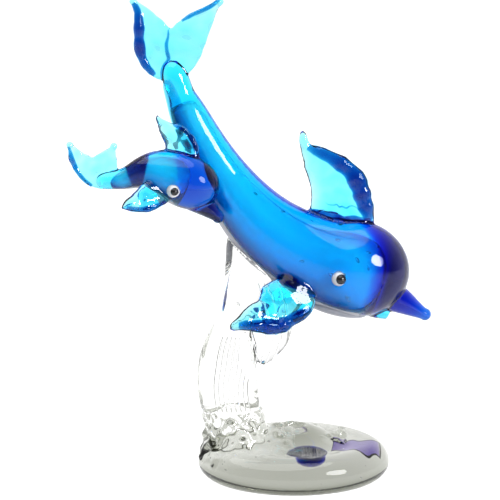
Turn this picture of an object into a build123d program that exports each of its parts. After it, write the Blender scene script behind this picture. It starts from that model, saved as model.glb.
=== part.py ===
from build123d import *

import os
from math import cos, pi, radians, sin

# A hot-worked glass figurine: a dolphin and her calf carried by a clear glass wave on a pebble foot.
# Millimetres, +Z up.  The origin is the middle of the flat underside of the foot.  Both dolphins
# swim towards +X, so their right flanks face -Y and their left flanks face +Y.

# ---- driving dimensions ----
FOOT_LENGTH = 72.0
FOOT_DEPTH = 58.0
FOOT_HEIGHT = 15.0
FOOT_PROFILE = [            # (height, width) of the foot's ovals, over its full height and width
    (0.00, 0.84),
    (0.14, 0.96),
    (0.42, 1.00),
    (0.72, 0.94),
    (0.90, 0.76),
    (0.98, 0.46),
    (1.00, 0.16),
]
MOTHER_Y = 0.0              # the plane each dolphin's spine lies in
CALF_Y = -12.8
FLANK_WIDTH = 0.92          # width over height of a dolphin's cross-section
BEAK_WIDTH = 1.12           # the beaks are wider than they are high

# ---- dolphins' spines from tail to forehead: (x, z, half height) ----
MOTHER_SPINE = [
    (-43.0, 149.0, 4.8),
    (-39.0, 138.0, 6.4),
    (-32.5, 124.5, 8.1),
    (-25.0, 112.0, 9.8),
    (-15.5, 99.5, 12.2),
    (-4.5, 90.0, 14.2),
    (9.5, 82.8, 16.2),
    (22.5, 79.5, 17.8),
]
MOTHER_TAIL_REACH = 8.0     # how far the rounded ends go past the first and last stations
MOTHER_HEAD_REACH = 20.0
CALF_SPINE = [
    (-67.0, 114.6, 3.3),
    (-61.5, 115.2, 3.9),
    (-56.5, 117.0, 5.3),
    (-50.5, 117.5, 7.8),
    (-44.0, 116.0, 9.3),
    (-38.5, 113.8, 9.6),
]
CALF_TAIL_REACH = 5.0
CALF_HEAD_REACH = 11.5
ROUND_END_ANGLES = [25, 48, 66, 79]     # where an elliptical end gets its cross-sections

MOTHER_BEAK = [(29.0, 71.0, 6.0), (36.0, 69.0, 5.6), (42.0, 65.7, 4.1), (45.8, 63.4, 2.8), (48.4, 62.0, 2.1)]
MOTHER_JAW = [(26.0, 66.0, 4.0), (31.0, 63.9, 3.4), (35.0, 62.4, 2.4)]
CALF_BEAK = [(-37.5, 108.5, 4.8), (-33.0, 105.5, 3.8), (-29.8, 103.0, 2.8), (-27.9, 101.2, 2.0)]

# ---- glass layers inside the dolphins ----
LINING_DROP = 0.22          # of the half height: how far the white lining sits below the spine
LINING_HEIGHT = 0.74        # of the half height
LINING_WIDTH = 0.60         # of the half width
MOTHER_LINING_TAIL = 3.0    # how far the lining goes past its own first and last stations
MOTHER_LINING_HEAD = 9.0
CALF_LINING_TAIL = 5.0
CALF_LINING_HEAD = 6.0
BELLY_DROP = 0.90           # the part of the lining that shows along the belly
BELLY_HEIGHT = 0.26
BELLY_WIDTH = 0.62
MOTHER_MELON_ARC = (12.0, 80.0, 19.5, 20.5)     # x, z and half axes of the front edge of the casing
CALF_MELON_ARC = (-52.0, 116.5, 10.0, 12.5)
BAND_REAR = ((-61.3, 121.0), (-56.9, 109.0))    # the dark band round the calf, as two cuts
BAND_FRONT = ((-51.6, 126.0), (-55.7, 109.0))

# ---- eyes ----
MOTHER_EYE = (15.8, 78.9)
MOTHER_EYE_RADIUS = 2.9
MOTHER_PUPIL_RADIUS = 1.9
MOTHER_EYE_Y = 14.0         # from the dolphin's own plane
CALF_EYE = (-43.6, 112.1)
CALF_EYE_RADIUS = 2.4
CALF_PUPIL_RADIUS = 1.5
CALF_EYE_Y = 7.6
PUPIL_SHIFT = (0.3, 1.0)    # forwards and outwards, in pupil radii

# ---- fins: cross-sections as (edge point, other edge point, thickness) ----
MOTHER_DORSAL = [
    ((3.5, 0, 90.0), (29.3, 0, 90.0), 6.4),
    ((3.8, 0, 97.0), (29.2, 0, 97.0), 5.8),
    ((5.6, 0, 103.0), (28.2, 0, 103.0), 4.8),
    ((5.8, 0, 108.5), (26.6, 0, 108.5), 4.2),
    ((4.2, 0, 114.5), (23.8, 0, 114.5), 4.0),
    ((3.0, 0, 119.0), (18.6, 0, 119.0), 3.8),
    ((2.2, 0, 122.6), (12.0, 0, 122.6), 3.4),
    ((1.6, 0, 126.0), (5.8, 0, 125.6), 3.0),
    ((1.7, 0, 129.0), (4.3, 0, 128.6), 2.4),
]
MOTHER_DORSAL_TIP = (2.7, 0, 130.8)
MOTHER_PECTORAL = [
    ((-4.0, -8.0, 81.0), (10.0, -8.0, 75.0), 6.0),
    ((-8.0, -13.0, 77.8), (7.4, -13.0, 70.5), 5.2),
    ((-12.8, -16.5, 74.0), (3.0, -16.5, 64.4), 4.4),
    ((-16.4, -19.5, 70.5), (-4.8, -19.5, 60.6), 3.8),
    ((-20.4, -22.5, 67.2), (-13.6, -22.5, 61.2), 3.2),
    ((-23.0, -24.0, 64.9), (-19.6, -24.0, 61.9), 2.6),
]
MOTHER_PECTORAL_TIP = (-23.6, -25.0, 62.2)
MOTHER_PECTORAL_FACING = (0.3, -0.85, 0.43)
# how each left fin hangs lower than the right one: x and z of the point it turns about, degrees
MOTHER_LEFT_DROOP = (0.0, 76.0, 38.0)
CALF_LEFT_DROOP = (-48.0, 112.0, 14.0)
CALF_DORSAL = [
    ((-45.5, 0, 120.0), (-34.0, 0, 119.0), 4.4),
    ((-46.4, 0, 124.5), (-34.2, 0, 123.0), 4.0),
    ((-46.9, 0, 127.5), (-35.0, 0, 126.5), 3.6),
    ((-48.0, 0, 130.5), (-36.4, 0, 129.8), 3.2),
    ((-48.9, 0, 133.0), (-39.0, 0, 132.8), 2.8),
    ((-49.5, 0, 135.2), (-44.0, 0, 135.2), 2.4),
    ((-49.9, 0, 137.0), (-48.0, 0, 137.0), 1.8),
]
CALF_DORSAL_TIP = (-49.3, 0, 138.2)
CALF_PECTORAL = [
    ((-50.0, -3.0, 117.0), (-42.5, -3.0, 109.0), 4.4),
    ((-53.2, -6.5, 115.4), (-46.2, -6.5, 107.6), 3.8),
    ((-56.4, -9.5, 113.0), (-50.0, -9.5, 105.9), 3.2),
    ((-59.2, -11.8, 110.6), (-55.0, -11.8, 105.3), 2.7),
    ((-61.2, -13.2, 108.6), (-59.0, -13.2, 106.0), 2.2),
]
CALF_PECTORAL_TIP = (-61.6, -13.9, 106.6)
CALF_PECTORAL_FACING = (0.25, -0.85, 0.46)

# ---- tail flukes, in the XZ plane: (x, z) along each edge ----
MOTHER_FLUKE_ROOT = (-44.8, 149.0)
MOTHER_FLUKE_NOTCH = (-44.7, 167.2)
MOTHER_LEFT_INNER = [(-50.2, 172.6), (-57.6, 178.0)]
MOTHER_LEFT_OUTER = [(-58.8, 176.6), (-57.6, 168.0), (-57.2, 159.0), (-53.6, 152.2)]
MOTHER_RIGHT_INNER = [(-40.0, 171.6), (-33.6, 174.8), (-27.8, 177.6)]
MOTHER_RIGHT_OUTER = [(-26.8, 176.4), (-29.8, 169.6), (-32.6, 161.4), (-36.6, 153.6)]
MOTHER_FLUKE_THICKNESS = 3.6
MOTHER_FLUKE_BEAD = 1.5
CALF_FLUKE_ROOT = (-69.0, 111.6)
CALF_FLUKE_NOTCH = (-72.6, 122.8)
CALF_LEFT_INNER = [(-76.2, 124.6), (-79.8, 127.8)]
CALF_LEFT_OUTER = [(-81.4, 126.8), (-80.4, 121.6), (-77.4, 116.0), (-73.6, 112.8)]
CALF_RIGHT_INNER = [(-69.0, 124.8), (-65.4, 127.2)]
CALF_RIGHT_OUTER = [(-64.4, 126.2), (-63.9, 121.2), (-64.6, 116.0)]
CALF_FLUKE_THICKNESS = 2.8
CALF_FLUKE_BEAD = 1.35
FLUKE_LENS_REACH = 2.9      # of half the seam: where the flukes would thin out to nothing

# ---- the wave: (z, left x, right x, half depth) ----
WAVE_FOOT = [
    (7.0, -35.0, 0.0, 17.0),
    (12.5, -34.4, -4.4, 14.5),
    (17.0, -33.4, -8.4, 12.2),
    (22.0, -33.7, -10.8, 10.8),
    (26.0, -34.8, -12.0, 10.2),
]
WAVE_COLUMN = [
    (26.0, -34.8, -12.0, 10.2),
    (29.0, -35.4, -12.8, 10.0),
    (36.0, -36.1, -13.6, 9.7),
    (43.5, -35.7, -14.0, 9.3),
    (50.0, -34.0, -15.2, 8.6),
    (55.0, -31.8, -16.2, 8.0),
]
WAVE_NECK = [
    (55.0, -31.8, -16.2, 8.0),
    (60.0, -29.3, -14.6, 7.6),
    (66.0, -27.5, -11.6, 7.6),
    (73.0, -26.3, -7.6, 7.8),
    (80.0, -25.6, -3.6, 7.6),
    (88.0, -25.2, -1.0, 6.4),
    (95.0, -23.0, -2.0, 4.6),
]
WAVE_CREST = [
    ((-15.5, 0, 76.0), (1.0, 0, 74.0), 11.0),
    ((-16.0, 0, 66.0), (0.6, 0, 66.0), 10.5),
    ((-16.6, 0, 58.0), (-0.6, 0, 58.0), 9.5),
    ((-15.8, 0, 52.0), (-1.9, 0, 52.4), 8.5),
    ((-14.8, 0, 47.2), (-4.6, 0, 48.0), 7.0),
    ((-13.6, 0, 44.0), (-8.0, 0, 44.6), 4.6),
]
WAVE_CREST_TIP = (-11.2, 0, 42.4)

# ---- things in and on the foot ----
FOOT_LUMPS = [      # x, y, z, radius of each clear lump
    (-1.0, 12.5, 13.6, 3.0),
    (9.5, 8.0, 13.8, 2.7),
    (17.5, 4.0, 13.2, 2.3),
    (3.0, 2.5, 14.4, 2.2),
    (12.5, -3.0, 13.4, 3.2),
]
LENS_PLACE = (5.0, -13.0, 9.6)
LENS_HALF_LENGTH = 7.2
LENS_HALF_DEPTH = 5.4
LENS_HALF_THICKNESS = 1.4
LENS_TILT = 14.0            # degrees, towards the front
STREAK_START = 13.5
STREAK_END = 31.0
STREAK_HEIGHT = 8.6
STREAK_WAVE = 1.1           # height of the streak's waves
STREAK_WAVES = 2.5
STREAK_THICKNESS = 0.9
STREAK_FRONT_Y = -9.0
STREAK_BACK_Y = 3.0


def largest(shape):
    """The biggest solid of a cut shape, without the crumbs a cut can leave."""
    return max(shape.solids(), key=lambda solid: solid.volume)


def rounded_end(ring, reach):
    """Rings of the elliptical end that runs `reach` past a ring, and its last point."""
    centre, along, height = ring
    rings = []
    for angle in ROUND_END_ANGLES:
        travel = reach * sin(radians(angle))
        rings.append((centre + along * travel, along, height * cos(radians(angle))))
    return rings, centre + along * reach


def spine_rings(spine, y):
    """Centre, direction and half height of each cross-section along a spine."""
    centres = [Vector(x, y, z) for x, z, _ in spine]
    last = len(spine) - 1
    rings = []
    for i, (_, _, height) in enumerate(spine):
        along = (centres[min(i + 1, last)] - centres[max(i - 1, 0)]).normalized()
        rings.append((centres[i], along, height))
    return rings


def layer(ring, width, height_share, width_share, drop):
    """Elliptical cross-section of a ring, or of a layer inside it, `drop` below the spine."""
    centre, along, height = ring
    up = along.cross(Vector(0, 1, 0))
    plane = Plane(origin=centre - up * (height * drop), x_dir=(0, 1, 0), z_dir=along)
    return plane * Ellipse(height * width * width_share, height * height_share)


def trunk(spine, y, tail_reach, head_reach, width=FLANK_WIDTH, height_share=1, width_share=1, drop=0):
    """Round-ended body lofted along a spine."""
    rings = spine_rings(spine, y)
    tail_centre, tail_along, tail_height = rings[0]
    tail_rings, tail_point = rounded_end((tail_centre, tail_along * -1, tail_height), tail_reach)
    tail_rings = [(centre, tail_along, height) for centre, _, height in reversed(tail_rings)]
    head_rings, head_point = rounded_end(rings[-1], head_reach)
    rings = tail_rings + rings + head_rings
    sections = [layer(ring, width, height_share, width_share, drop) for ring in rings]
    return loft([Vertex(*tail_point)] + sections + [Vertex(*head_point)])


def beak(spine, y):
    """Tapering beak with a flat root inside the head and a round knob at the tip."""
    rings = spine_rings(spine, y)
    sections = [layer(ring, BEAK_WIDTH, 1, 1, 0) for ring in rings]
    tip_centre, _, tip_height = rings[-1]
    return loft(sections) + Pos(*tip_centre) * Sphere(tip_height * BEAK_WIDTH)


def blade(stations, facing, tip=None):
    """Leaf-like solid lofted through lens-shaped sections, each spanning two edge points."""
    sections = []
    for edge, other_edge, thickness in stations:
        chord = Vector(*other_edge) - Vector(*edge)
        middle = (Vector(*edge) + Vector(*other_edge)) / 2
        plane = Plane(origin=middle, x_dir=chord, z_dir=chord.cross(Vector(*facing)))
        sections.append(plane * Ellipse(chord.length / 2, thickness / 2))
    if tip:
        sections.append(Vertex(*tip))
    return loft(sections)


def fluke(root, notch, inner, outer, thickness, bead_radius):
    """One tail fluke: a plate thinning towards its edges, with the bead its tip was pulled to."""
    seam = Line(root, notch)
    inner_edge = Spline(notch, *inner)
    tip = Line(inner[-1], outer[0])
    outer_edge = Spline(*outer, root)
    plate = extrude(Plane.XZ * make_face(seam + inner_edge + tip + outer_edge), thickness, both=True)
    half_seam = (notch[1] - root[1]) / 2
    reach = half_seam * FLUKE_LENS_REACH
    lens = scale(Sphere(1), by=(reach, thickness / 2, reach))
    bead_x = (inner[-1][0] + outer[0][0]) / 2
    bead_z = (inner[-1][1] + outer[0][1]) / 2
    bead = Pos(bead_x, 0, bead_z) * Sphere(bead_radius)
    return (plate & Pos(root[0], 0, root[1] + half_seam) * lens) + bead


def wave_part(stations):
    """One length of the wave, lofted through level ovals."""
    ovals = []
    for z, left, right, half_depth in stations:
        ovals.append(Pos((left + right) / 2, 0, z) * Ellipse((right - left) / 2, half_depth))
    return loft(ovals)


def pebble():
    """Oval foot with a flat underside, a round edge and a low dome on top."""
    ovals = []
    for height, width in FOOT_PROFILE:
        oval = Ellipse(width * FOOT_LENGTH / 2, width * FOOT_DEPTH / 2)
        ovals.append(Pos(0, 0, height * FOOT_HEIGHT) * oval)
    return loft(ovals)


def foot_lumps():
    """Clear lumps melted onto the back of the foot."""
    return [Pos(x, y, z) * Sphere(radius) for x, y, z, radius in FOOT_LUMPS]


def cobalt_lens():
    """Flat drop of cobalt glass sealed in the foot."""
    drop = extrude(Ellipse(LENS_HALF_LENGTH, LENS_HALF_DEPTH), LENS_HALF_THICKNESS, both=True)
    return Pos(*LENS_PLACE) * Rot(LENS_TILT, 0, 0) * drop


def violet_streak():
    """Thin waving ribbon of violet glass sealed in the foot."""
    length = STREAK_END - STREAK_START
    steps = int(4 * STREAK_WAVES)
    centre_line = []
    for i in range(steps + 1):
        rise = STREAK_WAVE * sin(2 * pi * STREAK_WAVES * i / steps)
        centre_line.append((STREAK_START + length * i / steps, STREAK_HEIGHT + rise))
    upper = [(x, z + STREAK_THICKNESS / 2) for x, z in centre_line]
    lower = [(x, z - STREAK_THICKNESS / 2) for x, z in reversed(centre_line)]
    outline = Spline(*upper) + Line(upper[-1], lower[0]) + Spline(*lower) + Line(lower[-1], upper[0])
    profile = Plane.XZ.offset(-STREAK_BACK_Y) * make_face(outline)
    return extrude(profile, STREAK_BACK_Y - STREAK_FRONT_Y)


def through_cut(outline):
    """Prism across the whole width of the figure, from an outline in the XZ plane."""
    return extrude(Plane.XZ * make_face(outline), FOOT_LENGTH, both=True)


def front_of_arc(arc):
    """Everything forward of the elliptical front edge of a body's casing."""
    x, z, half_length, half_height = arc
    block = through_cut(Pos(x + FOOT_LENGTH / 2, z) * Rectangle(FOOT_LENGTH, FOOT_LENGTH))
    return block - through_cut(Pos(x, z) * Ellipse(half_length, half_height))


def behind_cut(cut):
    """Everything on the tail side of a straight cut through the two given points."""
    (top_x, top_z), (low_x, low_z) = cut
    far_x = top_x - FOOT_LENGTH
    return through_cut(Polyline((top_x, top_z), (low_x, low_z), (far_x, low_z), (far_x, top_z), close=True))


def lining(spine, y, tail_reach, head_reach):
    """White glass core under the casing."""
    return trunk(spine, y, tail_reach, head_reach, FLANK_WIDTH, LINING_HEIGHT, LINING_WIDTH, LINING_DROP)


def belly(spine, y, tail_reach, head_reach, whole, core):
    """Bare strip of white glass along the underside, flush with the casing."""
    strip = trunk(spine, y, tail_reach, head_reach, FLANK_WIDTH, BELLY_HEIGHT, BELLY_WIDTH, BELLY_DROP)
    return largest((strip & whole) - core)


def eyes(place, y, out, white_radius, pupil_radius):
    """White beads and the dark pupils let into them, one of each per flank."""
    x, z = place
    forward, outward = PUPIL_SHIFT
    whites = []
    pupils = []
    for side in (-1, 1):
        centre = Vector(x, y + side * out, z)
        gaze = Vector(forward, side * outward, 0)
        white = Plane(origin=centre, z_dir=gaze) * Sphere(white_radius)
        pupil = Plane(origin=centre + gaze * pupil_radius, z_dir=gaze) * Sphere(pupil_radius)
        whites.append(largest(white - pupil))
        pupils.append(pupil)
    return whites, pupils


def left_pectoral(stations, facing, tip, droop):
    """The left fin: the right one mirrored and turned down about the shoulder."""
    mirrored = [
        ((x1, -y1, z1), (x2, -y2, z2), thickness)
        for (x1, y1, z1), (x2, y2, z2), thickness in stations
    ]
    fin = blade(mirrored, (facing[0], -facing[1], facing[2]), (tip[0], -tip[1], tip[2]))
    x, z, angle = droop
    return Pos(x, 0, z) * Rot(0, -angle, 0) * Pos(-x, 0, -z) * fin


def mother(whole):
    """The mother's pieces, by node name."""
    whites, pupils = eyes(MOTHER_EYE, MOTHER_Y, MOTHER_EYE_Y, MOTHER_EYE_RADIUS, MOTHER_PUPIL_RADIUS)
    lining_run = MOTHER_SPINE[1:], MOTHER_Y, MOTHER_LINING_TAIL, MOTHER_LINING_HEAD
    core = lining(*lining_run)
    underside = belly(*lining_run, whole, core)
    melon = largest((whole & front_of_arc(MOTHER_MELON_ARC)) - core - underside)
    body = largest(whole - core - underside - melon - whites - pupils)
    upper_beak = largest(beak(MOTHER_BEAK, MOTHER_Y) - whole)
    lower_jaw = largest(beak(MOTHER_JAW, MOTHER_Y) - whole - upper_beak)
    fin_shape = MOTHER_PECTORAL, MOTHER_PECTORAL_FACING, MOTHER_PECTORAL_TIP
    right_fin = blade(*fin_shape)
    left_fin = left_pectoral(*fin_shape, MOTHER_LEFT_DROOP)
    root, notch = MOTHER_FLUKE_ROOT, MOTHER_FLUKE_NOTCH
    finish = MOTHER_FLUKE_THICKNESS, MOTHER_FLUKE_BEAD
    left_fluke = fluke(root, notch, MOTHER_LEFT_INNER, MOTHER_LEFT_OUTER, *finish)
    right_fluke = fluke(root, notch, MOTHER_RIGHT_INNER, MOTHER_RIGHT_OUTER, *finish)
    return {
        "mother_body": body,
        "mother_lining": core,
        "mother_belly": underside,
        "mother_melon": melon,
        "mother_upper_beak": upper_beak,
        "mother_lower_jaw": lower_jaw,
        "mother_dorsal_fin": largest(blade(MOTHER_DORSAL, (0, 1, 0), MOTHER_DORSAL_TIP) - whole),
        "mother_right_pectoral_fin": largest(right_fin - whole),
        "mother_left_pectoral_fin": largest(left_fin - whole),
        "mother_left_fluke": largest(left_fluke - whole),
        "mother_right_fluke": largest(right_fluke - whole),
        "mother_eye_whites": whites,
        "mother_pupils": pupils,
    }


def calf(whole):
    """The calf's pieces, by node name."""
    shift = Pos(0, CALF_Y, 0)
    whites, pupils = eyes(CALF_EYE, CALF_Y, CALF_EYE_Y, CALF_EYE_RADIUS, CALF_PUPIL_RADIUS)
    lining_run = CALF_SPINE[1:-1], CALF_Y, CALF_LINING_TAIL, CALF_LINING_HEAD
    core = lining(*lining_run)
    underside = belly(*lining_run, whole, core)
    melon = largest((whole & front_of_arc(CALF_MELON_ARC)) - core - underside - whites - pupils)
    casing = whole - core - underside - melon - whites - pupils
    stem = largest(casing & behind_cut(BAND_REAR))
    band = largest((casing & behind_cut(BAND_FRONT)) - behind_cut(BAND_REAR))
    fin_shape = CALF_PECTORAL, CALF_PECTORAL_FACING, CALF_PECTORAL_TIP
    right_fin = shift * blade(*fin_shape)
    left_fin = shift * left_pectoral(*fin_shape, CALF_LEFT_DROOP)
    root, notch = CALF_FLUKE_ROOT, CALF_FLUKE_NOTCH
    finish = CALF_FLUKE_THICKNESS, CALF_FLUKE_BEAD
    left_fluke = shift * fluke(root, notch, CALF_LEFT_INNER, CALF_LEFT_OUTER, *finish)
    right_fluke = shift * fluke(root, notch, CALF_RIGHT_INNER, CALF_RIGHT_OUTER, *finish)
    return {
        "calf_body": largest(casing - behind_cut(BAND_FRONT)),
        "calf_dark_band": band,
        "calf_tail_stem": stem,
        "calf_lining": core,
        "calf_belly": underside,
        "calf_melon": melon,
        "calf_beak": largest(beak(CALF_BEAK, CALF_Y) - whole),
        "calf_dorsal_fin": largest(shift * blade(CALF_DORSAL, (0, 1, 0), CALF_DORSAL_TIP) - whole),
        "calf_right_pectoral_fin": largest(right_fin - whole),
        "calf_left_pectoral_fin": largest(left_fin - whole),
        "calf_left_fluke": largest(left_fluke - whole),
        "calf_right_fluke": largest(right_fluke - whole),
        "calf_eye_whites": whites,
        "calf_pupils": pupils,
    }


def stand(mother_whole):
    """The wave, the foot and what is melted into it, by node name."""
    root = wave_part(WAVE_FOOT)
    column = wave_part(WAVE_COLUMN)
    neck = largest(wave_part(WAVE_NECK) - mother_whole)
    crest = largest(blade(WAVE_CREST, (0, 1, 0), WAVE_CREST_TIP) - mother_whole - neck - column)
    lens = cobalt_lens()
    streak = violet_streak()
    lumps = foot_lumps()
    foot = pebble() - root - lens - streak - lumps
    return {
        "foot": largest(foot),
        "foot_lumps": lumps,
        "foot_cobalt_lens": lens,
        "foot_violet_streak": streak,
        "wave_root": root,
        "wave_column": column,
        "wave_neck": neck,
        "wave_crest": crest,
    }


def save(nodes):
    """Write one STEP file per node."""
    os.makedirs("parts", exist_ok=True)
    for node, shape in nodes.items():
        solids = Compound(children=shape) if isinstance(shape, list) else shape
        export_step(solids, f"parts/{node}.step")


mother_whole = trunk(MOTHER_SPINE, MOTHER_Y, MOTHER_TAIL_REACH, MOTHER_HEAD_REACH)
calf_whole = trunk(CALF_SPINE, CALF_Y, CALF_TAIL_REACH, CALF_HEAD_REACH) - mother_whole
save(mother(mother_whole))
save(calf(calf_whole))
save(stand(mother_whole))
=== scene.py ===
import math
import random

import bmesh
import bpy
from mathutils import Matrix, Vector, noise


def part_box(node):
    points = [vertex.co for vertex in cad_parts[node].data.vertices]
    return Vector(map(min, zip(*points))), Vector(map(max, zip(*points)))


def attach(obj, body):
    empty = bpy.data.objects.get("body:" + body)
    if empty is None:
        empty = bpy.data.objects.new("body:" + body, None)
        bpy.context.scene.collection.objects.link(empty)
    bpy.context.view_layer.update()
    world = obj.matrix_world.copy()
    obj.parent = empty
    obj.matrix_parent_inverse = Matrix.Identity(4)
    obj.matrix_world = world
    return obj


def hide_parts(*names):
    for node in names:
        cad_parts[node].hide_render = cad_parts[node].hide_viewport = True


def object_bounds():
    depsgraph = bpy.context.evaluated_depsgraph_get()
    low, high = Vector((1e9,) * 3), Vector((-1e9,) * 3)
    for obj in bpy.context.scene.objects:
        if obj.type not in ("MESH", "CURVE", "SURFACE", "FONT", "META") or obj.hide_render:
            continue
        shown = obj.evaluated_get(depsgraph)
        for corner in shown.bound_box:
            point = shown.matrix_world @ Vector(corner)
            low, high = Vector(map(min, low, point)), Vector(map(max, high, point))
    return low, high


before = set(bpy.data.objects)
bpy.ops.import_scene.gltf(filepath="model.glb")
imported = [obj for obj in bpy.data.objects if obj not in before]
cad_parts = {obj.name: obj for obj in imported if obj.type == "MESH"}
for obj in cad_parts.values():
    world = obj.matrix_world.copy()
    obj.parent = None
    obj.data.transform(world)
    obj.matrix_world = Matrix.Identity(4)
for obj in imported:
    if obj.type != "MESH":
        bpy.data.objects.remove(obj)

# A hot-worked glass figurine on a pale floor.  The blue and the clear glass are remeshed from the
# CAD solids into fused skins.  The coloured layers inside them only tint the light that crosses
# them: some are CAD solids that stay and are repainted, others are tubes and beads added here.

START_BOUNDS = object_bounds()
LOW, HIGH = (Vector(corner) for corner in START_BOUNDS)
SIZE = HIGH - LOW
MM = 0.001
X, Y, Z = range(3)
AWAY = Vector((0, 1, 0))                # from the near side of the figurine to the far side
# the lining is painted lighter facing this way and darker facing away: painted light and shade
BACK_DIRECTION = (0.62, 0.0, 0.78)      # from the dolphins' bellies to their backs

GLASS_IOR = 1.5
BLUE_IOR = 1.42
LAYER_IOR = 1.0                         # a coloured layer inside glass of its own kind bends no light

MOTHER_SKIN_NODES = [
    "mother_body", "mother_melon", "mother_upper_beak", "mother_lower_jaw", "mother_dorsal_fin",
    "mother_right_pectoral_fin", "mother_left_pectoral_fin", "mother_left_fluke", "mother_right_fluke",
    "mother_lining", "mother_belly",
]
CALF_SKIN_NODES = [
    "calf_body", "calf_dark_band", "calf_tail_stem", "calf_melon", "calf_beak", "calf_dorsal_fin",
    "calf_right_pectoral_fin", "calf_left_pectoral_fin", "calf_left_fluke", "calf_right_fluke",
    "calf_lining", "calf_belly",
]
STAND_SKIN_NODES = ["foot", "foot_lumps", "wave_root", "wave_column", "wave_neck", "wave_crest"]
# nodes that are melted into a skin and still shown inside it
DYED = ["mother_melon", "mother_upper_beak", "calf_dark_band", "calf_melon", "calf_beak"]
LININGS = ["mother_lining", "mother_belly", "calf_lining", "calf_belly"]

# an edge of a fin: the axis it runs along, the axis it faces and which way it faces
FRONT_EDGE = (Z, X, 1)
REAR_EDGE = (Z, X, -1)
TOP_EDGE = (X, Z, 1)
LOWER_EDGE = (X, Z, -1)
EDGE_SLICES = 28
FLANK_SLICES = 24
THREAD_SLICES = 16

SLICE_REACH = 1.2                       # how far a slice of a flank reaches, in steps
SWELL_POWER = 0.6                       # below 1, so a tapered tube is nearly full width most of the way
RIM_INSET = 0.7                         # how far a rim lies in from the fin's edge, in radii
RIM_UNEVENNESS = 0.26
RIM_LUMP = 3 * MM
VEIN_WANDER = 1.6 * MM
VEIN_WAVE = 2.5 * MM
BUBBLE_SLENDERNESS = 0.4
BUBBLE_TILTS = (-1.4, -0.1)             # radians
SMALLEST_BUBBLE = 0.35                  # as a share of the largest
NEAR_SIDE = 0.45                        # bubbles lie past this share of the way to the nearest point
THREAD_DEPTH = 1.2 * MM

FLOOR_WIDTH = 6
FLOOR_LIFT = 0.15 * MM      # the foot dips into the floor, so that light inside it meets the floor
FLOOR_GREY = (0.25, 0.25, 0.25)
CEILING_GREY = (0.60, 0.60, 0.60)
PURE_WHITE = (1, 1, 1)
# y where the light starts to grow and where it is full, and its strength at each; y is in metres
# on the floor, and the y of a direction, from -1 to 1, in the surroundings
FLOOR_GLOW = (-0.35, -0.03, 0.45, 1.02)
SURROUNDINGS_GLOW = (-0.35, 0.45, 0.14, 1.08)
SOFT_BOXES = {              # place, diameter and power
    "key_box": ((0.56, -0.54, 0.40), 0.34, 7.6),
    "top_box": ((-0.20, -0.10, 1.10), 1.50, 12.0),
}

CAMERA_LENS = 135
CAMERA_ELEVATION = math.radians(12)
CAMERA_DISTANCE = 0.690
CAMERA_AIM = (0.494, 0.483)             # shares of the way along and up the figurine
GLASS_BOUNCES = 40                      # light crosses many glass walls before it leaves
CLEAR_BOUNCES = 24


# Materials

def principled(name):
    """New node material, and its shader."""
    material = bpy.data.materials.new(name)
    material.use_nodes = True
    return material, material.node_tree.nodes["Principled BSDF"]


def glass(name, colour, density, ior=GLASS_IOR):
    """Clear glass that takes its colour from its depth: density is per metre."""
    material, shader = principled(name)
    shader.inputs["Base Color"].default_value = (1, 1, 1, 1)
    shader.inputs["Roughness"].default_value = 0.0
    shader.inputs["IOR"].default_value = ior
    shader.inputs["Transmission Weight"].default_value = 1
    tree = material.node_tree
    volume = tree.nodes.new("ShaderNodeVolumeAbsorption")
    volume.inputs["Color"].default_value = (*colour, 1)
    volume.inputs["Density"].default_value = density
    tree.links.new(volume.outputs["Volume"], tree.nodes["Material Output"].inputs["Volume"])
    return material


def opaque(name, colour, roughness):
    """Glossy opaque glass."""
    material, shader = principled(name)
    shader.inputs["Base Color"].default_value = (*colour, 1)
    shader.inputs["Roughness"].default_value = roughness
    shader.inputs["IOR"].default_value = GLASS_IOR
    return material


def graded(tree, value, start, end, first, last):
    """Output that goes from first to last as a value goes from start to end."""
    node = tree.nodes.new("ShaderNodeMapRange")
    node.inputs["From Min"].default_value = start
    node.inputs["From Max"].default_value = end
    node.inputs["To Min"].default_value = first
    node.inputs["To Max"].default_value = last
    tree.links.new(value, node.inputs["Value"])
    return node.outputs["Result"]


def ramped(tree, value, stops):
    """Colour that runs through the stops, each a position and a colour, as a value grows."""
    node = tree.nodes.new("ShaderNodeValToRGB")
    elements = node.color_ramp.elements
    while len(elements) < len(stops):
        elements.new(0.5)
    for element, (position, colour) in zip(elements, stops):
        element.position = position
        element.color = (*colour, 1)
    tree.links.new(value, node.inputs["Fac"])
    return node.outputs["Color"]


def lining_painted_shade():
    """Pale glass painted with light and shade: lighter on the dolphin's back and deep blue underneath."""
    material, shader = principled("lining_painted_shade")
    tree = material.node_tree
    geometry = tree.nodes.new("ShaderNodeNewGeometry")
    facing = tree.nodes.new("ShaderNodeVectorMath")
    facing.operation = "DOT_PRODUCT"
    facing.inputs[1].default_value = BACK_DIRECTION
    tree.links.new(geometry.outputs["Normal"], facing.inputs[0])
    lit_share = graded(tree, facing.outputs["Value"], -1, 1, 0, 1)
    # painted shade underneath and painted light on the back, as though lit from above
    shaded_underside = (0.26, (0.0, 0.09, 0.42))
    flank = (0.46, (0.02, 0.56, 1.0))
    back = (0.80, (0.34, 0.92, 1.0))
    colour = ramped(tree, lit_share, (shaded_underside, flank, back))
    tree.links.new(colour, shader.inputs["Base Color"])
    shader.inputs["Roughness"].default_value = 0.6
    return material


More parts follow.
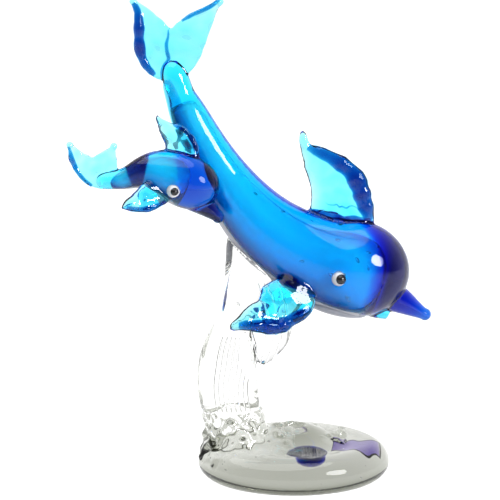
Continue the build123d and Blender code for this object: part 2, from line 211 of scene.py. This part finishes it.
AZURE = glass("azure_glass", (0.0, 0.90, 0.998), 460, BLUE_IOR)
CLEAR = glass("clear_glass", (0.30, 0.33, 0.22), 9)
# painted shade: a grey tint inside the clear foot, standing in for dark surroundings seen in the glass
FOOT_SHADE_LAYER = glass("foot_shade_layer", (0.25, 0.27, 0.17), 38, LAYER_IOR)
# painted shade, for the strip down the mother's tail
SHADE_LAYER = glass("shade_layer", (0.0, 0.76, 0.90), 600, LAYER_IOR)
CALF_LAYER = glass("calf_layer", (0.0, 0.72, 0.92), 420, LAYER_IOR)
COBALT_LAYER = glass("cobalt_layer", (0.0, 0.30, 0.84), 600, LAYER_IOR)
# dark blue of the fin rims and veins, also used as painted shade at the pectoral root
RIM_AND_SHADE_LAYER = glass("rim_and_shade_layer", (0.0, 0.62, 0.85), 2100, LAYER_IOR)
LENS_LAYER = glass("lens_layer", (0.02, 0.0, 0.80), 4000, LAYER_IOR)
VIOLET_LAYER = glass("violet_layer", (0.35, 0.20, 0.78), 1300, LAYER_IOR)
BAND_LAYER = glass("band_layer", (0.72, 0.40, 0.72), 1100, LAYER_IOR)
BUBBLE = glass("seed_bubble", (1, 1, 1), 0, 1 / GLASS_IOR)
WHITE = opaque("white_glass", (0.62, 0.62, 0.64), 0.15)
# white belly glass painted grey: painted shade where the belly lies in shadow
PEARL_IN_SHADE = opaque("belly_glass_in_shade", (0.27, 0.28, 0.33), 0.25)
BLACK = opaque("black_glass", (0.01, 0.01, 0.012), 0.05)
SHADED_LINING = lining_painted_shade()

CAD_MATERIALS = {
    "mother_melon": COBALT_LAYER,
    "mother_upper_beak": COBALT_LAYER,
    "calf_melon": CALF_LAYER,
    "calf_beak": RIM_AND_SHADE_LAYER,
    "calf_dark_band": BAND_LAYER,
    "mother_lining": SHADED_LINING,
    "calf_lining": SHADED_LINING,
    "mother_belly": PEARL_IN_SHADE,
    "calf_belly": PEARL_IN_SHADE,
    "mother_eye_whites": WHITE,
    "calf_eye_whites": WHITE,
    "mother_pupils": BLACK,
    "calf_pupils": BLACK,
    "foot": FOOT_SHADE_LAYER,
    "foot_cobalt_lens": LENS_LAYER,
    "foot_violet_streak": VIOLET_LAYER,
}


# Measures taken from the CAD nodes

def box_of(node):
    """Lowest and highest corner of a CAD node."""
    low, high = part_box(node)
    return Vector(low), Vector(high)


def corners_of(node):
    """A CAD node's vertices."""
    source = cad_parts[node]
    return [source.matrix_world @ vertex.co for vertex in source.data.vertices]


def shape_of(node):
    """A CAD node's vertices and faces."""
    return corners_of(node), [polygon.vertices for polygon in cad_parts[node].data.polygons]


def within(place, box, axes=(X, Y, Z), margin=0.0):
    """Whether a place is inside a box, along the given axes."""
    low, high = box
    return all(low[axis] - margin <= place[axis] <= high[axis] + margin for axis in axes)


def between(low, high, *shares):
    """Places at the given shares of the way from low to high."""
    return tuple(low + share * (high - low) for share in shares)


def evened(line, rounds):
    """A line with its kinks smoothed out."""
    for _ in range(rounds):
        middles = [(a + b * 2 + c) / 4 for a, b, c in zip(line, line[1:], line[2:])]
        line = [line[0]] + middles + [line[-1]]
    return line


def edge_line(node, edge, start=0.0, end=1.0):
    """Points along one edge of a CAD node: the farthest point in each slice."""
    along, facing, side = edge
    low, high = box_of(node)
    step = (high[along] - low[along]) / EDGE_SLICES
    corners = corners_of(node)
    line = []
    for i in range(int(start * EDGE_SLICES), int(end * EDGE_SLICES)):
        level = low[along] + i * step
        inside = [co for co in corners if level <= co[along] <= level + step]
        if inside:
            line.append(max(inside, key=lambda co: side * co[facing]))
    return evened(line, rounds=3)


def flank_line(corners, span, along, across, share, count):
    """Points on the near side of an oval body centred on y = 0, at a share of the way across it."""
    start, end = span
    step = (end - start) / count
    line = []
    for i in range(count + 1):
        level = start + i * step
        inside = [co for co in corners if abs(co[along] - level) < step * SLICE_REACH]
        if not inside:
            continue
        first = min(co[across] for co in inside)
        last = max(co[across] for co in inside)
        near = min(co.y for co in inside)
        point = Vector((0, near * math.sqrt(1 - (2 * share - 1) ** 2), 0))
        point[along] = level
        point[across] = first + share * (last - first)
        line.append(point)
    return evened(line, rounds=5)


def sunk(line, depth):
    """A line on the near side moved into the body."""
    return [point + AWAY * depth for point in line]


# Shapes, as vertices and faces

def tube(line, radii, ring=12, flat=1.0):
    """Closed tube along a line, with its own radius at each point.

    flat is its depth from front to back as a share of its width.
    """
    vertices = []
    faces = []
    last = len(line) - 1
    for i, point in enumerate(line):
        along = (line[min(i + 1, last)] - line[max(i - 1, 0)]).normalized()
        across = along.cross(AWAY).normalized()
        aside = along.cross(across) * flat
        for k in range(ring):
            angle = 2 * math.pi * k / ring
            vertices.append(point + (across * math.cos(angle) + aside * math.sin(angle)) * radii[i])
    for i in range(last):
        for k in range(ring):
            a = i * ring + k
            b = i * ring + (k + 1) % ring
            faces.append([a, b, b + ring, a + ring])
    faces.append(list(range(ring - 1, -1, -1)))
    faces.append([last * ring + k for k in range(ring)])
    return vertices, faces


def tapered(count, thick, thin):
    """Radii that swell from thin at both ends to thick in the middle."""
    swell = [max(math.sin(math.pi * i / (count - 1)), 0) ** SWELL_POWER for i in range(count)]
    return [thin + (thick - thin) * share for share in swell]


def ellipsoid(centre, half_sizes, turn):
    """Closed ellipsoid, turned in the dolphins' plane."""
    made = bmesh.new()
    bmesh.ops.create_uvsphere(made, u_segments=20, v_segments=12, radius=1)
    cosine = math.cos(turn)
    sine = math.sin(turn)
    vertices = []
    for vertex in made.verts:
        x = vertex.co.x * half_sizes[X]
        z = vertex.co.z * half_sizes[Z]
        offset = Vector((x * cosine - z * sine, vertex.co.y * half_sizes[Y], x * sine + z * cosine))
        vertices.append(centre + offset)
    faces = [[vertex.index for vertex in face.verts] for face in made.faces]
    made.free()
    return vertices, faces


def rim(node, edge, thick, thin, start=0.0, end=1.0, flat=1.0):
    """The thick, uneven bead along a fin's edge, moved a little inwards."""
    _, facing, side = edge
    inwards = Vector((0, 0, 0))
    inwards[facing] = -side * thick * RIM_INSET
    line = [point + inwards for point in edge_line(node, edge, start, end)]
    lumps = [1 + RIM_UNEVENNESS * noise.noise(point / RIM_LUMP) for point in line]
    radii = [radius * lump for radius, lump in zip(tapered(len(line), thick, thin), lumps)]
    return tube(line, radii, ring=16, flat=flat)


def tail_shade_strip():
    """Painted shade: a deeper blue tint down the belly side of the mother's tail, where the lining lies in
    shadow.
    """
    low, high = box_of("mother_body")
    span = between(low.z, high.z, 0.42, 0.92)
    line = flank_line(corners_of("mother_body"), span, Z, X, share=0.17, count=FLANK_SLICES)
    return tube(sunk(line, 1.6 * MM), tapered(len(line), thick=3.4 * MM, thin=1.6 * MM), ring=20)


def back_seam():
    """Thin dark line along the mother's back, where the casing was joined."""
    low, high = box_of("mother_body")
    span = between(low.x, high.x, 0.42, 0.93)
    line = flank_line(corners_of("mother_body"), span, X, Z, share=0.86, count=FLANK_SLICES)
    return tube(line, tapered(len(line), thick=0.30 * MM, thin=0.12 * MM))


def dorsal_vein():
    """Wandering dark vein across the lower part of the mother's dorsal fin."""
    nearer = -1.2 * MM
    height = 5.5 * MM
    line = edge_line("mother_dorsal_fin", LOWER_EDGE, start=0.34, end=0.84)
    rises = [height + noise.noise(point / VEIN_WAVE) * VEIN_WANDER for point in line]
    raised = [point + Vector((0, nearer, rise)) for point, rise in zip(line, rises)]
    return tube(raised, tapered(len(raised), thick=0.34 * MM, thin=0.12 * MM))


def beside_eye(offset):
    """Place at an offset in millimetres from the middle between the mother's eyes."""
    low, high = box_of("mother_eye_whites")
    return (low + high) / 2 + Vector(offset) * MM


def mother_chin():
    """Pearly throat under the mother's eye, white glass painted grey as shade."""
    half_sizes = (12.5 * MM, 8.0 * MM, 3.1 * MM)
    return ellipsoid(beside_eye((-0.8, 0, -13.8)), half_sizes, math.radians(-14))


def pectoral_root_shade():
    """Painted shade: a dark tint where the mother's near pectoral fin joins her flank."""
    half_sizes = (4.6 * MM, 2.2 * MM, 2.5 * MM)
    return ellipsoid(beside_eye((-18.4, -11.0, -2.0)), half_sizes, math.radians(-24))


# Pieces

def new_piece(name, shape):
    """New object in the scene, from vertices and faces."""
    mesh = bpy.data.meshes.new(name)
    vertices, faces = shape
    mesh.from_pydata(vertices, [], faces)
    piece = bpy.data.objects.new(name, mesh)
    bpy.context.scene.collection.objects.link(piece)
    return piece


def dress(piece, material):
    """Give a piece its material and smooth shading."""
    piece.data.materials.clear()
    piece.data.materials.append(material)
    for polygon in piece.data.polygons:
        polygon.use_smooth = True


def settle(piece):
    """Turn a piece's modifiers into its mesh."""
    depsgraph = bpy.context.evaluated_depsgraph_get()
    result = bpy.data.meshes.new_from_object(piece.evaluated_get(depsgraph))
    piece.modifiers.clear()
    piece.data = result


def fused_skin(name, nodes, beads, voxel, smoothing, material, kept):
    """One smooth glass skin melted together from beads and CAD solids; the kept solids still show."""
    vertices = []
    faces = []
    for shape_vertices, shape_faces in [*beads, *map(shape_of, nodes)]:
        offset = len(vertices)
        vertices += shape_vertices
        faces += [[offset + index for index in face] for face in shape_faces]
    skin = new_piece(name, (vertices, faces))
    remesh = skin.modifiers.new("melt", "REMESH")
    remesh.mode = "VOXEL"
    remesh.voxel_size = voxel
    smooth = skin.modifiers.new("flow", "SMOOTH")
    smooth.factor = 0.5
    smooth.iterations = smoothing
    settle(skin)
    dress(skin, material)
    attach(skin, "root")
    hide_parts(*[node for node in nodes if node not in kept])
    return skin


def ripple(skin, nodes, height, width):
    """Make the skin uneven, like glass pinched while hot, round some of the CAD nodes."""
    boxes = [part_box(node) for node in nodes]
    normals = [vertex.normal.copy() for vertex in skin.data.vertices]
    places = [vertex.co.copy() for vertex in skin.data.vertices]
    for i, place in enumerate(places):
        if any(within(place, box) for box in boxes):
            places[i] = place + normals[i] * height * noise.noise(place / width)
    skin.data.vertices.foreach_set("co", [value for place in places for value in place])
    skin.data.update()


def inner_piece(name, shape, material):
    """A piece added to the glass: a tinted layer, the opaque chin, a bubble or a thread of air."""
    piece = new_piece(name, shape)
    dress(piece, material)
    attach(piece, "root")
    return piece


def seed_bubbles(chance, node, count, inwards, large):
    """Small air bubbles just under the near side of a CAD node, stretched along the flow."""
    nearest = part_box(node)[0][Y]
    near = [co for co in corners_of(node) if co.y < nearest * NEAR_SIDE]
    for i in range(count):
        place = chance.choice(near) + AWAY * inwards
        length = large * chance.uniform(SMALLEST_BUBBLE, 1.0)
        width = length * BUBBLE_SLENDERNESS
        shape = ellipsoid(place, (length, width, width), chance.uniform(*BUBBLE_TILTS))
        inner_piece(f"{node}_bubble_{i}", shape, BUBBLE)


def air_threads(skin, node, count, left, right, thick):
    """Fine threads of trapped air that run down inside one part of the wave."""
    low, high = box_of(node)
    places = [vertex.co.copy() for vertex in skin.data.vertices]
    corners = [place for place in places if within(place, (low, high), (X, Z), MM)]
    span = between(low.z, high.z, 0.03, 1.0)
    for i in range(count):
        share = left + (right - left) * i / (count - 1)
        line = sunk(flank_line(corners, span, Z, X, share, THREAD_SLICES), THREAD_DEPTH)
        thread = tube(line, tapered(len(line), thick, thin=thick * 0.35), ring=10)
        inner_piece(f"{node}_thread_{i}", thread, BUBBLE)


def repaint(node, material):
    """Give a CAD node a new material in its object's slots."""
    for material_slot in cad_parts[node].material_slots:
        material_slot.link = "OBJECT"
        material_slot.material = material


# Studio

def floor():
    """Pale floor that glows more towards the back."""
    bpy.ops.mesh.primitive_plane_add(size=FLOOR_WIDTH, location=(0, 0, LOW.z + FLOOR_LIFT))
    plane = bpy.context.object
    plane.name = "floor"
    material, shader = principled("floor")
    shader.inputs["Base Color"].default_value = (*FLOOR_GREY, 1)
    shader.inputs["Roughness"].default_value = 0.9
    shader.inputs["Emission Color"].default_value = (*PURE_WHITE, 1)
    tree = material.node_tree
    place = tree.nodes.new("ShaderNodeNewGeometry")
    parts = tree.nodes.new("ShaderNodeSeparateXYZ")
    tree.links.new(place.outputs["Position"], parts.inputs["Vector"])
    glow = graded(tree, parts.outputs["Y"], *FLOOR_GLOW)
    tree.links.new(glow, shader.inputs["Emission Strength"])
    plane.data.materials.append(material)


def surroundings():
    """White surroundings, greyer overhead, and brighter behind the figurine than in front of it."""
    world = bpy.data.worlds.new("studio")
    bpy.context.scene.world = world
    world.use_nodes = True
    tree = world.node_tree
    background = tree.nodes["Background"]
    coordinates = tree.nodes.new("ShaderNodeTexCoord")
    parts = tree.nodes.new("ShaderNodeSeparateXYZ")
    tree.links.new(coordinates.outputs["Generated"], parts.inputs["Vector"])
    colour = ramped(tree, parts.outputs["Z"], ((0.32, PURE_WHITE), (0.75, CEILING_GREY)))
    strength = graded(tree, parts.outputs["Y"], *SURROUNDINGS_GLOW)
    tree.links.new(colour, background.inputs["Color"])
    tree.links.new(strength, background.inputs["Strength"])


def soft_boxes():
    """Round soft lights, aimed at the middle of the figurine."""
    for name, (place, diameter, power) in SOFT_BOXES.items():
        light = bpy.data.lights.new(name, "AREA")
        light.shape = "DISK"
        light.size = diameter
        light.energy = power
        lamp = bpy.data.objects.new(name, light)
        lamp.location = place
        aim = Vector((0, 0, SIZE.z * 0.5)) - Vector(place)
        lamp.rotation_euler = aim.to_track_quat("-Z", "Y").to_euler()
        bpy.context.scene.collection.objects.link(lamp)


def camera():
    """Long lens a little above the figurine, square on to the dolphins' right flanks."""
    data = bpy.data.cameras.new("camera")
    data.lens = CAMERA_LENS
    eye = bpy.data.objects.new("camera", data)
    bpy.context.scene.collection.objects.link(eye)
    along, up = CAMERA_AIM
    target = Vector((LOW.x + SIZE.x * along, 0, LOW.z + SIZE.z * up))
    direction = Vector((0, -math.cos(CAMERA_ELEVATION), math.sin(CAMERA_ELEVATION)))
    eye.location = target + direction * CAMERA_DISTANCE
    eye.rotation_euler = (-direction).to_track_quat("-Z", "Y").to_euler()
    bpy.context.scene.camera = eye


def rendering():
    """Plain colours, and enough bounces for light to find its way through the glass."""
    scene = bpy.context.scene
    scene.view_settings.view_transform = "Standard"
    scene.cycles.max_bounces = GLASS_BOUNCES
    scene.cycles.transmission_bounces = GLASS_BOUNCES
    scene.cycles.transparent_max_bounces = CLEAR_BOUNCES


# The figurine: dark rims along the fins, the three skins they are melted into, and what is inside

mother_rims = {
    "dorsal_rim": rim("mother_dorsal_fin", FRONT_EDGE, 3.5 * MM, 1.2 * MM, start=0.03, end=0.88, flat=0.62),
    "dorsal_root": rim("mother_dorsal_fin", LOWER_EDGE, 1.3 * MM, 0.7 * MM, start=0.15, end=0.95),
}
for side in ("right", "left"):
    mother_rims[f"{side}_pectoral_rim"] = rim(
        f"mother_{side}_pectoral_fin", LOWER_EDGE, 2.8 * MM, 1.2 * MM, start=0.08, end=0.97, flat=0.7
    )
mother_rims |= {
    "left_fluke_rim": rim("mother_left_fluke", REAR_EDGE, 2.0 * MM, 0.8 * MM, start=0.05, end=0.95),
    "fluke_seam": rim("mother_left_fluke", FRONT_EDGE, 0.7 * MM, 0.3 * MM, start=0.02, end=0.62),
    "right_fluke_rim": rim("mother_right_fluke", TOP_EDGE, 0.9 * MM, 0.6 * MM, start=0.2, end=0.95),
}
calf_rims = {
    "calf_dorsal_rim": rim("calf_dorsal_fin", FRONT_EDGE, 1.2 * MM, 0.7 * MM, start=0.05, end=0.85),
}
for side in ("right", "left"):
    calf_rims[f"calf_{side}_pectoral_rim"] = rim(
        f"calf_{side}_pectoral_fin", LOWER_EDGE, 1.2 * MM, 0.7 * MM, start=0.1, end=0.95
    )
calf_rims["calf_left_fluke_rim"] = rim("calf_left_fluke", REAR_EDGE, 0.9 * MM, 0.6 * MM, start=0.05, end=0.9)

mother_skin = fused_skin(
    "mother_skin", MOTHER_SKIN_NODES, mother_rims.values(), voxel=0.5 * MM, smoothing=5,
    material=AZURE, kept=DYED + LININGS,
)
calf_skin = fused_skin(
    "calf_skin", CALF_SKIN_NODES, calf_rims.values(), voxel=0.38 * MM, smoothing=4,
    material=AZURE, kept=DYED + LININGS,
)
stand_skin = fused_skin(
    "stand_skin", STAND_SKIN_NODES, [], voxel=0.5 * MM, smoothing=6,
    material=CLEAR, kept=["foot"],
)
for name, shape in {**mother_rims, **calf_rims}.items():
    inner_piece(name, shape, RIM_AND_SHADE_LAYER)

PINCHED_MOTHER_NODES = ["mother_dorsal_fin", "mother_left_fluke", "mother_right_fluke"]
PINCHED_CALF_NODES = ["calf_dorsal_fin", "calf_right_pectoral_fin", "calf_left_fluke", "calf_right_fluke"]
ripple(mother_skin, PINCHED_MOTHER_NODES, height=0.35 * MM, width=3.6 * MM)
ripple(mother_skin, ["mother_right_pectoral_fin"], height=0.22 * MM, width=3.0 * MM)
ripple(calf_skin, PINCHED_CALF_NODES, height=0.40 * MM, width=3.0 * MM)
ripple(stand_skin, ["foot_lumps", "wave_root"], height=1.3 * MM, width=3.2 * MM)
ripple(stand_skin, ["wave_crest"], height=0.35 * MM, width=5.0 * MM)

inner_piece("tail_shade_strip", tail_shade_strip(), SHADE_LAYER)
inner_piece("dorsal_vein", dorsal_vein(), RIM_AND_SHADE_LAYER)
inner_piece("back_seam", back_seam(), RIM_AND_SHADE_LAYER)
inner_piece("mother_chin", mother_chin(), PEARL_IN_SHADE)
inner_piece("pectoral_root_shade", pectoral_root_shade(), RIM_AND_SHADE_LAYER)

chance = random.Random(11)
seed_bubbles(chance, "mother_body", 30, inwards=1.5 * MM, large=1.4 * MM)
seed_bubbles(chance, "wave_neck", 6, inwards=2.0 * MM, large=1.1 * MM)
seed_bubbles(chance, "calf_body", 5, inwards=1.0 * MM, large=0.5 * MM)
seed_bubbles(chance, "mother_left_fluke", 5, inwards=0.9 * MM, large=0.7 * MM)
seed_bubbles(chance, "mother_right_fluke", 4, inwards=0.9 * MM, large=0.7 * MM)
seed_bubbles(chance, "foot", 26, inwards=2.0 * MM, large=0.6 * MM)
air_threads(stand_skin, "wave_column", 8, left=0.30, right=0.80, thick=0.50 * MM)
air_threads(stand_skin, "wave_crest", 4, left=0.25, right=0.75, thick=0.40 * MM)

for node, material in CAD_MATERIALS.items():
    repaint(node, material)

floor()
surroundings()
soft_boxes()
camera()
rendering()
